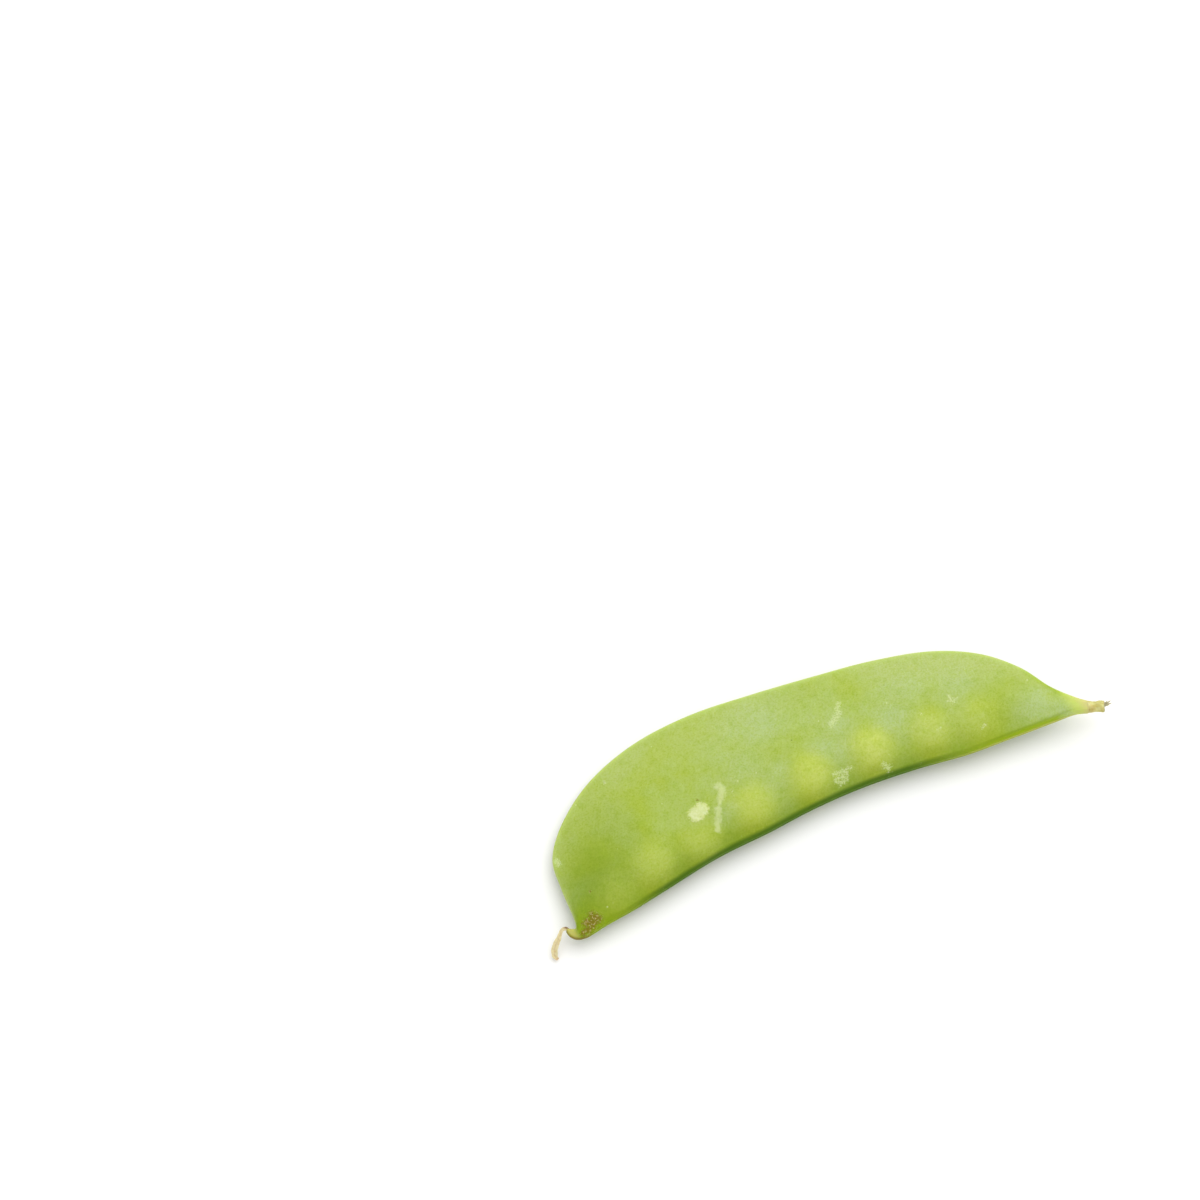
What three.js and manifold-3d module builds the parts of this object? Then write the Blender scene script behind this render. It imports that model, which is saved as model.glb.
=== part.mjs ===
// Snow pea pod, as picked, lying on one of its two broad valves.
//
// Millimetres, +Z up. +X runs from the dry style at the beak to the stem stub, +Y from the straight
// edge that carries the seeds to the arched edge. The origin is the middle of the bounding box's base.
//
// The pod is one closed loft. Its sections run from the seed edge to the back edge at the stations
// below, and each section is a flat lens: blunt at the seed edge, thin at the back edge. Eight seeds
// swell both valves. The stub of the stem and the dry style are separate solids at the two ends.

import * as THREE from 'three';
import { mergeVertices } from 'three/addons/utils/BufferGeometryUtils.js';
import Module from 'manifold-3d';

// Outline stations from the stem neck to the tip of the beak, in the plane between the valves:
// [seed edge x, seed edge y, back edge x, back edge y, half thickness]
const STATIONS = [
  [41.35, -1.85, 42.05, -0.05, 0.85],
  [39.6, -1.2, 40.55, 1.5, 0.95],
  [37.0, -0.9, 38.3, 4.4, 1.15],
  [33.2, -0.6, 35.8, 9.1, 1.45],
  [28.5, -0.2, 31.5, 13.7, 1.80],
  [22.5, 0.3, 25.1, 17.3, 2.05],
  [15.0, 1.5, 16.6, 19.7, 2.20],
  [7.0, 2.3, 7.6, 21.2, 2.25],
  [-1.0, 2.4, -1.9, 22.5, 2.25],
  [-9.0, 1.9, -11.5, 23.4, 2.25],
  [-17.1, 1.6, -20.7, 22.8, 2.20],
  [-24.6, 0.6, -28.9, 20.3, 2.10],
  [-31.1, -0.3, -35.1, 16.3, 1.90],
  [-35.6, -0.7, -38.9, 11.8, 1.60],
  [-38.2, -1.05, -39.7, 7.2, 1.35],
  [-39.7, -1.2, -39.95, 2.6, 1.05],
  [-40.9, -0.9, -40.3, 0.8, 0.75],
  [-41.65, -0.1, -40.9, 0.85, 0.50],
  [-41.85, 0.8, -41.4, 1.2, 0.30],
];

// Seeds in one row along the seed edge: [x, y, swelling of the upper valve]
const SEEDS = [
  [-32.9, 2.1, 0.25],
  [-26.4, 3.8, 0.50],
  [-18.7, 3.9, 0.45],
  [-9.5, 5.8, 0.60],
  [0.1, 6.5, 0.75],
  [9.9, 6.4, 0.85],
  [19.0, 5.2, 0.50],
  [26.0, 4.0, 0.35],
];
const SEED_REACH_ALONG = 3.0;   // the swelling falls to about a third this far from its middle
const SEED_REACH_ACROSS = 2.9;
const SEED_POWER = 1.4;         // above 1, the swelling is flatter on top and steeper at its foot
const LOWER_VALVE_SHARE = 0.6;  // the valve that carries the weight swells less

// Section of the pod
const NOSE_LEAST = 0.3;         // depth of the blunt rounding at the seed edge, where the pod narrows
const NOSE_GROWTH = 0.02;       // and how much deeper it gets for each millimetre of width
const RIM_REACH = 0.6;          // depth of the rounding at the thin back edge
const RIM_HALF_THICKNESS = 0.55;
const CREST = 0.4;              // where across the pod it is thickest
const NOSE_SHARE = 0.25;        // fullness at the seed edge, against the crest
const BACK_POWER = 1.25;

// Bend and rest
const HALF_LENGTH = 42;
const NECK_RISE = 1.3;          // the neck lifts, the beak droops
const NECK_POWER = 2.5;
const BEAK_DROOP = 0.5;
const BEAK_POWER = 3;
const REST_ROLL = -2.3;         // degrees: the thin back edge lies lower than the seed edge

// Stem stub
const STUB_START = [41.35, -0.77, 1.24];
const STUB_TURN = -26;          // degrees from +X towards the seed edge
const STUB_LIFT = 5;            // degrees above the pod's own plane
const STUB_PROFILE = [          // [distance along the stub, radius]
  [0, 0.9],
  [0.4, 0.9],
  [0.9, 0.9],
  [1.4, 0.85],
  [1.9, 0.83],
  [2.4, 0.84],
  [2.75, 0.83],
  [2.9, 0.7],
];
const STUB_SIDES = 20;
const FIBRES = [                // torn strands: [turn, lift, length, radius]
  [30, 4, 0.9, 0.24],
  [20, -3, 0.95, 0.24],
  [38, 12, 0.6, 0.2],
];
const FIBRE_ROOT = 0.35;        // how deep a strand starts inside the stub

// Dry style: middle line from the beak to its free tip, and [half width, half thickness] along it
const STYLE_LINE = [
  [-41.35, 0.7, -0.48],
  [-41.68, 1.3, -0.46],
  [-42.2, 1.38, -0.5],
  [-42.75, 0.95, -0.72],
  [-43.25, 0.45, -0.97],
  [-43.95, -0.1, -1.43],
  [-44.4, -0.65, -1.87],
  [-44.55, -1.25, -2.25],
  [-44.4, -1.8, -2.42],
];
const STYLE_SECTION = [
  [0.26, 0.22],
  [0.27, 0.2],
  [0.27, 0.18],
  [0.3, 0.17],
  [0.38, 0.17],
  [0.48, 0.18],
  [0.46, 0.18],
  [0.4, 0.17],
  [0.22, 0.15],
];

// Mesh density
const POD_STEPS = 90;
const POD_SIDES = 30;
const STYLE_STEPS = 24;
const STYLE_SIDES = 10;

const POD_GREEN = 0xa9c25a;
const STUB_TAN = 0xcdbd6a;
const STYLE_CREAM = 0xe6d3b3;

const wasm = await Module();
wasm.setup();

// Curve through one pair of columns of a table.
function planCurve(rows, column) {
  return new THREE.SplineCurve(rows.map((row) => new THREE.Vector2(row[column], row[column + 1])));
}

// Curve of one column against the row's number.
function columnCurve(rows, column) {
  return new THREE.SplineCurve(rows.map((row, i) => new THREE.Vector2(i, row[column])));
}

// Quarter ellipse: 0 at the edge, 1 from the given reach inwards.
function edgeRounding(distance, reach) {
  const t = THREE.MathUtils.clamp(distance / reach, 0, 1);
  return Math.sqrt(1 - (1 - t) ** 2);
}

// Closed solid through a row of rings. A ring turns anticlockwise, seen from ahead.
function loft(rings) {
  const sides = rings[0].length;
  const points = rings.flat();
  const faces = [];
  for (let i = 0; i < rings.length - 1; i++) {
    for (let j = 0; j < sides; j++) {
      const a = i * sides + j;
      const b = i * sides + ((j + 1) % sides);
      faces.push(a, b, b + sides, a, b + sides, a + sides);
    }
  }
  const first = rings[0];
  const last = rings[rings.length - 1];
  const lastStart = points.length - sides;
  points.push(middleOf(first), middleOf(last));
  for (let j = 0; j < sides; j++) {
    const next = (j + 1) % sides;
    faces.push(points.length - 2, next, j);
    faces.push(points.length - 1, lastStart + j, lastStart + next);
  }
  const geometry = new THREE.BufferGeometry().setFromPoints(points);
  geometry.setIndex(faces);
  geometry.computeVertexNormals();
  return geometry;
}

function middleOf(ring) {
  const sum = ring.reduce((total, point) => total.add(point), new THREE.Vector3());
  return sum.divideScalar(ring.length);
}

// How far each seed lifts a valve over the point (x, y).
function seedSwelling(x, y) {
  let lift = 0;
  for (const [seedX, seedY, height] of SEEDS) {
    const along = (x - seedX) / SEED_REACH_ALONG;
    const across = (y - seedY) / SEED_REACH_ACROSS;
    lift += height * Math.exp(-((along ** 2 + across ** 2) ** SEED_POWER));
  }
  return lift;
}

// Height of the pod's middle surface: flat along the belly, lifted at the neck, drooping at the beak.
function spineHeight(x) {
  const neck = NECK_RISE * THREE.MathUtils.clamp(x / HALF_LENGTH, 0, 1) ** NECK_POWER;
  const beak = BEAK_DROOP * THREE.MathUtils.clamp(-x / HALF_LENGTH, 0, 1) ** BEAK_POWER;
  return neck - beak;
}

// Depth of the rounding at the seed edge of a section.
function noseReach(width) {
  return Math.min(NOSE_LEAST + NOSE_GROWTH * width, width / 2);
}

// Half thickness of the pod a share q of the way from the seed edge to the back edge.
function valveHeight(q, width, fullest) {
  const nose = edgeRounding(q * width, noseReach(width));
  const rim = edgeRounding((1 - q) * width, Math.min(RIM_REACH, width / 2));
  const thin = Math.min(RIM_HALF_THICKNESS, fullest);
  const rise = NOSE_SHARE + (1 - NOSE_SHARE) * Math.sin(Math.min(q / CREST, 1) * Math.PI / 2);
  const fall = Math.cos(Math.max((q - CREST) / (1 - CREST), 0) * Math.PI / 2) ** BACK_POWER;
  return nose * rim * (thin + (fullest - thin) * (q < CREST ? rise : fall));
}

function makePod() {
  const seedEdge = planCurve(STATIONS, 0);
  const backEdge = planCurve(STATIONS, 2);
  const thickness = columnCurve(STATIONS, 4);
  const rings = [];
  for (let i = 0; i <= POD_STEPS; i++) {
    const t = i / POD_STEPS;
    const seedPoint = seedEdge.getPoint(t);
    const backPoint = backEdge.getPoint(t);
    const width = seedPoint.distanceTo(backPoint);
    const fullest = thickness.getPoint(t).y;
    const ring = [];
    for (let j = 0; j < POD_SIDES; j++) {
      const angle = (2 * Math.PI * j) / POD_SIDES;
      const q = (1 - Math.cos(angle)) / 2;
      const point = seedPoint.clone().lerp(backPoint, q);
      const upper = angle <= Math.PI;
      const share = upper ? 1 : LOWER_VALVE_SHARE;
      const rounding = edgeRounding(q * width, noseReach(width));
      const seeds = share * seedSwelling(point.x, point.y) * rounding;
      const height = valveHeight(q, width, fullest) + seeds;
      const z = spineHeight(point.x) + (upper ? height : -height);
      ring.push(new THREE.Vector3(point.x, point.y, z));
    }
    rings.push(ring);
  }
  return loft(rings);
}

// Direction of a part of the stub, turned and lifted from the stub's own axis.
function stubDirection(turn, lift) {
  const yaw = THREE.MathUtils.degToRad(STUB_TURN + turn);
  const pitch = THREE.MathUtils.degToRad(STUB_LIFT + lift);
  return new THREE.Vector3(
    Math.cos(yaw) * Math.cos(pitch),
    Math.sin(yaw) * Math.cos(pitch),
    Math.sin(pitch),
  );
}

// Turns a shape's own +Y onto a direction and moves it to a point.
function aim(geometry, point, direction) {
  const turn = new THREE.Quaternion().setFromUnitVectors(new THREE.Vector3(0, 1, 0), direction);
  return geometry.applyQuaternion(turn).translate(point.x, point.y, point.z);
}

function toSolid(geometry) {
  const bare = geometry.clone();
  bare.deleteAttribute('normal');
  bare.deleteAttribute('uv');
  const merged = mergeVertices(bare);
  return new wasm.Manifold(new wasm.Mesh({
    numProp: 3,
    vertProperties: new Float32Array(merged.attributes.position.array),
    triVerts: new Uint32Array(merged.index.array),
  }));
}

// Cuts a solid back to one end of the pod, at the given row of the stations.
function trimAtPod(solid, row, outwards) {
  const [seedX, seedY, backX, backY] = STATIONS[row];
  const normal = new THREE.Vector2(backY - seedY, seedX - backX).normalize();
  normal.multiplyScalar(outwards);
  return solid.trimByPlane([normal.x, normal.y, 0], normal.x * seedX + normal.y * seedY);
}

function toGeometry(solid) {
  const mesh = solid.getMesh();
  const geometry = new THREE.BufferGeometry();
  geometry.setAttribute('position', new THREE.BufferAttribute(mesh.vertProperties, 3));
  geometry.setIndex(new THREE.BufferAttribute(mesh.triVerts, 1));
  geometry.computeVertexNormals();
  return geometry;
}

// The swollen foot of the flower stalk, with the strands that tore when the pod was picked.
function makeStemStub() {
  const length = STUB_PROFILE[STUB_PROFILE.length - 1][0];
  const outline = STUB_PROFILE.map(([along, radius]) => new THREE.Vector2(radius, along));
  const profile = [new THREE.Vector2(0, 0), ...outline, new THREE.Vector2(0, length)];
  const start = new THREE.Vector3(...STUB_START);
  const axis = stubDirection(0, 0);
  const collar = aim(new THREE.LatheGeometry(profile, STUB_SIDES), start, axis);
  const root = start.clone().addScaledVector(axis, length - FIBRE_ROOT);
  let stub = toSolid(collar);
  for (const [turn, lift, reach, radius] of FIBRES) {
    const direction = stubDirection(turn, lift);
    const middle = root.clone().addScaledVector(direction, (reach + FIBRE_ROOT) / 2);
    const strand = new THREE.ConeGeometry(radius, reach + FIBRE_ROOT, 6);
    stub = stub.add(toSolid(aim(strand, middle, direction)));
  }
  return toGeometry(trimAtPod(stub, 0, 1));
}

// A withered ribbon, wide across its middle line and thin from face to face.
function makeDriedStyle() {
  const line = new THREE.CatmullRomCurve3(STYLE_LINE.map((point) => new THREE.Vector3(...point)));
  const section = planCurve(STYLE_SECTION, 0);
  const up = new THREE.Vector3(0, 0, 1);
  const rings = [];
  for (let i = 0; i <= STYLE_STEPS; i++) {
    const t = i / STYLE_STEPS;
    const middle = line.getPoint(t);
    const ahead = line.getTangent(t);
    const across = new THREE.Vector3().crossVectors(up, ahead).normalize();
    const over = new THREE.Vector3().crossVectors(ahead, across);
    const size = section.getPoint(t);
    const ring = [];
    for (let j = 0; j < STYLE_SIDES; j++) {
      const angle = (2 * Math.PI * j) / STYLE_SIDES;
      const point = middle.clone();
      point.addScaledVector(across, size.x * Math.cos(angle));
      point.addScaledVector(over, size.y * Math.sin(angle));
      ring.push(point);
    }
    rings.push(ring);
  }
  return toGeometry(trimAtPod(toSolid(loft(rings)), STATIONS.length - 1, -1));
}

function makeMesh(name, geometry, color, roughness) {
  const material = new THREE.MeshStandardMaterial({ color, roughness, metalness: 0 });
  const mesh = new THREE.Mesh(geometry, material);
  mesh.name = name;
  return mesh;
}

const lying = new THREE.Group();
lying.add(makeMesh('pod', makePod(), POD_GREEN, 0.5));
lying.add(makeMesh('stem_stub', makeStemStub(), STUB_TAN, 0.85));
lying.add(makeMesh('dried_style', makeDriedStyle(), STYLE_CREAM, 0.8));
lying.rotation.x = THREE.MathUtils.degToRad(REST_ROLL);

const snowPea = new THREE.Group();
snowPea.add(lying);
const box = new THREE.Box3().setFromObject(snowPea, true);
lying.position.set(-(box.min.x + box.max.x) / 2, -(box.min.y + box.max.y) / 2, -box.min.z);

export default snowPea;
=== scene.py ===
"""Looks of a fresh snow pea pod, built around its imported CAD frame.

The pod, the stub of its stalk and the dry style on its beak are surfaces of two parameters, worked
out with numpy in the pod's own plane, then laid down where the CAD solids lie. Lengths are in
millimetres until a mesh is written.
"""

import logging
import math
from dataclasses import dataclass, field
from enum import Enum

import bpy
import numpy as np
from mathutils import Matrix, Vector


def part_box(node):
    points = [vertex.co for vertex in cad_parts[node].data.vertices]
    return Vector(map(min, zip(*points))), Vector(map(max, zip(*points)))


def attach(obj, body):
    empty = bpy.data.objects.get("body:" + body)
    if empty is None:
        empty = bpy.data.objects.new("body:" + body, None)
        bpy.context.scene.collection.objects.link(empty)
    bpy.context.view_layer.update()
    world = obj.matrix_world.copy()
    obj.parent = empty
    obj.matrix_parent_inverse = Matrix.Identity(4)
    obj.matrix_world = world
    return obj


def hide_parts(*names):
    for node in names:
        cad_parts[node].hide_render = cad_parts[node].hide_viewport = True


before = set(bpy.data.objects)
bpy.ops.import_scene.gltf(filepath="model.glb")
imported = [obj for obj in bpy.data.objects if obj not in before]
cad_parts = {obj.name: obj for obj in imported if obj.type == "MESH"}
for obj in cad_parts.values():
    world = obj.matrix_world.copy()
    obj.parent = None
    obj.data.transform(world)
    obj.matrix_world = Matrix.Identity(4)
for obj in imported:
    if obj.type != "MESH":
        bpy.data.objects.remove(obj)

log = logging.getLogger("snow_pea")

MM = 0.001
TINY = 1e-12
NOISE_MIDDLE = 0.5
ROOT_BODY = "root"

Colour = tuple[float, float, float]
Socket = bpy.types.NodeSocket

# colours that two finishes, or two marks of one, share
STRAW: Colour = (0.520, 0.500, 0.170)
SCAR_TISSUE: Colour = (0.590, 0.630, 0.340)
BRUISE: Colour = (0.480, 0.340, 0.080)
RIBBON_VEIN: Colour = (0.460, 0.340, 0.160)


# ---- Curves and fields ----


def curve_through(rows: np.ndarray, t: np.ndarray) -> np.ndarray:
    """Points on the uniform Catmull-Rom curve through the rows.

    Between rows b and c, with neighbours a and d, the curve is the cubic that starts at b with
    slope (c - a) / 2 and ends at c with slope (d - b) / 2. The end rows are their own neighbours.

    Args:
        rows: One row for each point that the curve passes through.
        t: Places along the curve, 0 at the first row and 1 at the last.

    Returns:
        One row for each place.
    """
    last = len(rows) - 1
    place = np.clip(t, 0.0, 1.0) * last
    i = np.minimum(place.astype(int), last - 1)
    w = (place - i)[:, None]
    a, b = rows[np.maximum(i - 1, 0)], rows[i]
    c, d = rows[i + 1], rows[np.minimum(i + 2, last)]
    slope_b, slope_c = (c - a) / 2, (d - b) / 2
    cubic = 2 * b - 2 * c + slope_b + slope_c
    square = 3 * c - 3 * b - 2 * slope_b - slope_c
    return ((cubic * w + square) * w + slope_b) * w + b


def edge_rounding(distance: np.ndarray, reach: np.ndarray) -> np.ndarray:
    """Quarter of an ellipse: 0 at the edge and 1 from the given reach inwards."""
    t = np.clip(distance / reach, 0.0, 1.0)
    return np.sqrt(1.0 - (1.0 - t) ** 2)


def bump_at(distance: np.ndarray, centre: float, spread: float) -> np.ndarray:
    """Bell curve of height 1 at the centre, which falls to 1/e one spread away."""
    return np.exp(-(((distance - centre) / spread) ** 2))


def ease(value: np.ndarray, start: float, end: float) -> np.ndarray:
    """Smooth step from 0 at start to 1 at end; start may be the larger."""
    t = np.clip((value - start) / (end - start), 0.0, 1.0)
    return t * t * (3.0 - 2.0 * t)


@dataclass(frozen=True)
class Fade:
    """A smooth step over a distance, 0 at its start and 1 at its end; the start may be the larger."""

    start: float
    end: float

    def of(self, value: np.ndarray) -> np.ndarray:
        """Share of the way from the start to the end, smoothed."""
        return ease(value, self.start, self.end)


@dataclass(frozen=True)
class Bell:
    """A bell curve over a distance: its height, its middle, and how far away it falls to 1/e."""

    height: float
    middle: float
    spread: float

    def of(self, distance: np.ndarray) -> np.ndarray:
        """Height of the curve at each distance; a groove's is below 0."""
        return self.height * bump_at(distance, self.middle, self.spread)


def distance_to_path(x: np.ndarray, y: np.ndarray, path: tuple[tuple[float, float], ...]) -> np.ndarray:
    """Shortest distance in the plane from each point (x, y) to a broken line.

    Args:
        x: First coordinate of the points.
        y: Second coordinate of the points.
        path: Corners of the line; a single corner is a spot.

    Returns:
        The distances, shaped as x.
    """
    corners = list(path) if len(path) > 1 else [path[0], path[0]]
    best = np.full(x.shape, np.inf)
    for (ax, ay), (bx, by) in zip(corners, corners[1:]):
        run_x, run_y = bx - ax, by - ay
        length_squared = max(run_x**2 + run_y**2, TINY)
        t = np.clip(((x - ax) * run_x + (y - ay) * run_y) / length_squared, 0.0, 1.0)
        best = np.minimum(best, np.hypot(x - ax - t * run_x, y - ay - t * run_y))
    return best


@dataclass(frozen=True)
class Ripples:
    """Smooth, seeded unevenness: a sum of plane waves whose lengths fall in one band.

    Each wave is the cosine of the place measured along its own direction, over its own length, and
    the sum is scaled so that its spread is about the height.
    """

    shortest: float
    longest: float
    seed: int
    height: float
    waves: int = 24

    def at(self, x: np.ndarray, y: np.ndarray, z: np.ndarray) -> np.ndarray:
        """Height of the unevenness at each point."""
        random = np.random.default_rng(self.seed)
        total = np.zeros(np.broadcast(x, y, z).shape)
        for _ in range(self.waves):
            direction = random.normal(size=3)
            direction /= np.linalg.norm(direction)
            length = random.uniform(self.shortest, self.longest)
            phase = random.uniform(0.0, 2 * math.pi)
            k = 2 * math.pi * direction / length
            total += np.cos(k[0] * x + k[1] * y + k[2] * z + phase)
        return self.height * (total * math.sqrt(2.0 / self.waves))


def outward_normals(points: np.ndarray) -> np.ndarray:
    """Unit normals of a grid of rings whose columns close on themselves.

    The normal is the cross product of the way round the ring and the way along the rings, both
    taken as central differences.

    Args:
        points: Array of rings, ring points and coordinates.

    Returns:
        One unit vector for each point.
    """
    around = np.roll(points, -1, axis=1) - np.roll(points, 1, axis=1)
    along = np.gradient(points, axis=0)
    normal = np.cross(around, along)
    length = np.linalg.norm(normal, axis=2, keepdims=True)
    return normal / np.maximum(length, TINY)


def length_round_ring(points: np.ndarray) -> np.ndarray:
    """Distance round each ring from its first point, one row for each ring."""
    steps = np.linalg.norm(np.diff(points, axis=1), axis=2)
    return np.concatenate([np.zeros((len(points), 1)), np.cumsum(steps, axis=1)], axis=1)


# ---- Meshes ----


@dataclass
class Shell:
    """A closed surface: a grid of rings with a point at the middle of each end.

    A ring turns anticlockwise, seen from ahead. The masks are numbers between 0 and 1 on the same
    grid, which the materials read as attributes.
    """

    points: np.ndarray
    masks: dict[str, np.ndarray] = field(default_factory=dict)

    def vertices(self) -> np.ndarray:
        """All the points in one list, the two end points last."""
        ends = self.points[[0, -1]].mean(axis=1)
        return np.concatenate([self.points.reshape(-1, 3), ends])

    def mask_values(self, name: str) -> np.ndarray:
        """One mask in the order of the vertices."""
        mask = self.masks[name]
        return np.concatenate([mask.ravel(), mask[[0, -1]].mean(axis=1)])

    def faces(self) -> list[np.ndarray]:
        """Quads between the rings, and a fan of triangles over each end."""
        rings, sides = self.points.shape[:2]
        grid = np.arange(rings * sides).reshape(rings, sides)
        after = np.roll(grid, -1, axis=1)
        quads = np.stack([grid[:-1], after[:-1], after[1:], grid[1:]], axis=-1).reshape(-1, 4)
        start, end = rings * sides, rings * sides + 1
        first = np.stack([np.full(sides, start), after[0], grid[0]], axis=-1)
        last = np.stack([np.full(sides, end), grid[-1], after[-1]], axis=-1)
        return [quads, first, last]


def write_mesh(name: str, shells: list[Shell], material: bpy.types.Material) -> bpy.types.Object:
    """Makes one object of one or more closed shells.

    Args:
        name: The object's name.
        shells: Surfaces in millimetres, already in the CAD frame; all have the same masks.
        material: The finish of the whole piece.

    Returns:
        The object, at the origin, with its place in its mesh.
    """
    vertices = np.concatenate([shell.vertices() for shell in shells]) * MM
    faces: list[list[int]] = []
    first = 0
    for shell in shells:
        for block in shell.faces():
            faces += (block + first).tolist()
        first += len(shell.vertices())
    mesh = bpy.data.meshes.new(name)
    mesh.from_pydata(vertices.tolist(), [], faces)
    mesh.update()
    for mask in shells[0].masks:
        values = np.concatenate([shell.mask_values(mask) for shell in shells])
        attribute = mesh.attributes.new(mask, "FLOAT", "POINT")
        attribute.data.foreach_set("value", values.astype(np.float32))
    mesh.polygons.foreach_set("use_smooth", np.ones(len(mesh.polygons), dtype=bool))
    mesh.materials.append(material)
    piece = bpy.data.objects.new(name, mesh)
    bpy.context.scene.collection.objects.link(piece)
    return piece


# ---- Node trees ----


class Blend(Enum):
    """Ways of laying one colour over another."""

    MIX = "MIX"
    MULTIPLY = "MULTIPLY"


class Step(Enum):
    """Steps of arithmetic on two numbers."""

    ADD = "ADD"
    MULTIPLY = "MULTIPLY"


class Cells(Enum):
    """Distance from the middle of a cell, with sharp or with smoothed borders between the cells."""

    SHARP = "F1"
    SMOOTH = "SMOOTH_F1"


class Channel(Enum):
    """Channels of a cell's random colour."""

    RED = "Red"
    GREEN = "Green"


@dataclass(frozen=True)
class Mottle:
    """Soft noise, and the levels between which it is drawn out where a share is wanted."""

    # lumps to the millimetre, octaves of finer lumps, and how much those count
    per_mm: float
    detail: float = 2.0
    rough: float = 0.5
    # levels of the noise, and what they become
    low: float = 0.0
    high: float = 1.0
    to_low: float = 0.0
    to_high: float = 1.0


@dataclass(frozen=True)
class Wash:
    """A colour laid on by a mask of the mesh, and its strength where the mask is full."""

    mask: str
    colour: Colour
    strength: float


@dataclass(frozen=True)
class TornMark:
    """A mark with a torn edge: its mask plus unevenness * tear, drawn out between two levels."""

    mask: str
    colour: Colour
    strength: float
    tear: float
    low: float
    high: float


@dataclass(frozen=True)
class Specks:
    """Tiny dots in those cells whose random number in one channel is above the rarity."""

    colour: Colour
    strength: float
    channel: Channel
    rarity: float


class Recipe:
    """A material's node tree, with one short method for each kind of node that the finishes use."""

    def __init__(self, name: str) -> None:
        """Starts an empty material whose patterns are measured in millimetres."""
        self.material = bpy.data.materials.new(name)
        self.material.use_nodes = True
        self.nodes = self.material.node_tree.nodes
        self.links = self.material.node_tree.links
        self.shader = self.nodes["Principled BSDF"]
        coordinates = self.node("TexCoord").outputs["Object"]
        in_mm = self.node("Mapping", Scale=(1 / MM, 1 / MM, 1 / MM), Vector=coordinates)
        self.place = in_mm.outputs["Vector"]

    def node(self, kind: str, **inputs: Socket | float | tuple[float, ...]) -> bpy.types.Node:
        """Adds a node and feeds its inputs; an input's name here has _ in place of a space."""
        node = self.nodes.new("ShaderNode" + kind)
        for name, value in inputs.items():
            self.feed(node.inputs[name.replace("_", " ")], value)
        return node

    def feed(self, socket: Socket, value: Socket | float | tuple[float, ...]) -> None:
        """Links a socket to the one given, or sets it to the number or numbers given."""
        if isinstance(value, Socket):
            self.links.new(value, socket)
        else:
            socket.default_value = value

    def drawn_out(self, length: float, turn: float) -> Socket:
        """Place in millimetres, drawn out along a line turned about Z by some degrees from +X."""
        rotation = (0.0, 0.0, math.radians(turn))
        node = self.node("Mapping", Scale=(length, 1.0, 1.0), Rotation=rotation, Vector=self.place)
        node.vector_type = "TEXTURE"
        return node.outputs["Vector"]

    def mask(self, name: str) -> Socket:
        """A mask that the mesh carries."""
        node = self.node("Attribute")
        node.attribute_name = name
        return node.outputs["Fac"]

    def noise(self, pattern: Mottle, place: Socket | None = None) -> Socket:
        """A mottle's noise between 0 and 1, at its own levels."""
        place = place or self.place
        node = self.node(
            "TexNoise", Scale=pattern.per_mm, Detail=pattern.detail, Roughness=pattern.rough, Vector=place
        )
        return node.outputs["Fac"]

    def uneven(self, pattern: Mottle) -> Socket:
        """A mottle's noise, lowered so that its middle is 0."""
        return self.sum(self.noise(pattern), -NOISE_MIDDLE)

    def levels(self, noise: Socket, pattern: Mottle) -> Socket:
        """A mottle's noise, drawn out between its levels."""
        return self.span(noise, pattern.low, pattern.high, pattern.to_low, pattern.to_high)

    def mottle(self, pattern: Mottle) -> Socket:
        """A mottle's share at each point."""
        return self.levels(self.noise(pattern), pattern)

    def cells(self, per_mm: float, kind: Cells) -> bpy.types.Node:
        """Voronoi cells, with a given number of cells to the millimetre."""
        node = self.node("TexVoronoi", Scale=per_mm, Vector=self.place)
        node.feature = kind.value
        return node

    def span(
        self, value: Socket, low: float, high: float, to_low: float = 0.0, to_high: float = 1.0
    ) -> Socket:
        """The value's share of the way from low to high, smoothed, then spread over a new range."""
        ends = {"From_Min": low, "From_Max": high, "To_Min": to_low, "To_Max": to_high}
        node = self.node("MapRange", Value=value, **ends)
        node.interpolation_type = "SMOOTHSTEP"
        return node.outputs["Result"]

    def reckon(self, step: Step, a: Socket, b: Socket | float) -> Socket:
        """One step of arithmetic on two numbers."""
        node = self.node("Math")
        node.operation = step.value
        self.feed(node.inputs[0], a)
        self.feed(node.inputs[1], b)
        return node.outputs["Value"]

    def sum(self, a: Socket, b: Socket | float) -> Socket:
        """Sum of two numbers."""
        return self.reckon(Step.ADD, a, b)

    def times(self, a: Socket, b: Socket | float) -> Socket:
        """Product of two numbers."""
        return self.reckon(Step.MULTIPLY, a, b)

    def over(self, base: Socket | Colour, top: Colour, share: Socket, blend: Blend = Blend.MIX) -> Socket:
        """Lays a colour over another by a share between 0 and 1."""
        node = self.node("Mix")
        node.data_type = "RGBA"
        node.blend_type = blend.value
        node.clamp_factor = True
        below, above = [socket for socket in node.inputs if socket.type == "RGBA"]
        self.feed(below, (*base, 1.0) if isinstance(base, tuple) else base)
        self.feed(above, (*top, 1.0))
        self.feed(node.inputs["Factor"], share)
        return next(socket for socket in node.outputs if socket.type == "RGBA")

    def wash(self, base: Socket, wash: Wash) -> Socket:
        """Lays a wash over a colour."""
        return self.over(base, wash.colour, self.times(self.mask(wash.mask), wash.strength))

    def torn(self, mark: TornMark, unevenness: Socket) -> Socket:
        """A torn mark's share at each point, before its strength."""
        frayed = self.sum(self.mask(mark.mask), self.times(unevenness, mark.tear))
        return self.span(frayed, mark.low, mark.high)

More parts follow.
